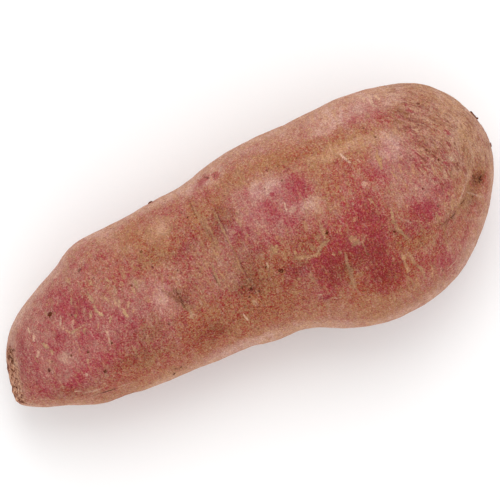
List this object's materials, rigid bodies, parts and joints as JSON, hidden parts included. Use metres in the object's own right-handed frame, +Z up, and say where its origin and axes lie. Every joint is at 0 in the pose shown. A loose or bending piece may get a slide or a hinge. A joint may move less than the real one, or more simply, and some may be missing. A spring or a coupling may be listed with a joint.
{
  "type": "sweet potato",
  "caption": "One whole red-skinned sweet potato, a tapering storage root with a broken stem end and a blunt tip, lying on its side.",
  "frame": {"origin": "on the surface that the root lies on, under the middle of its bounding box", "axes": "+X along the root from the broken stem end to the blunt tip, +Z up, +Y towards the root's straighter edge"},
  "size_m": [0.18, 0.0748, 0.0635],
  "materials": {
    "skin": "matte and dusty, magenta-red skin mottled with tan cork"
  },
  "bodies": {
    "root": {"sweet_potato": "skin"}
  },
  "joints": []
}
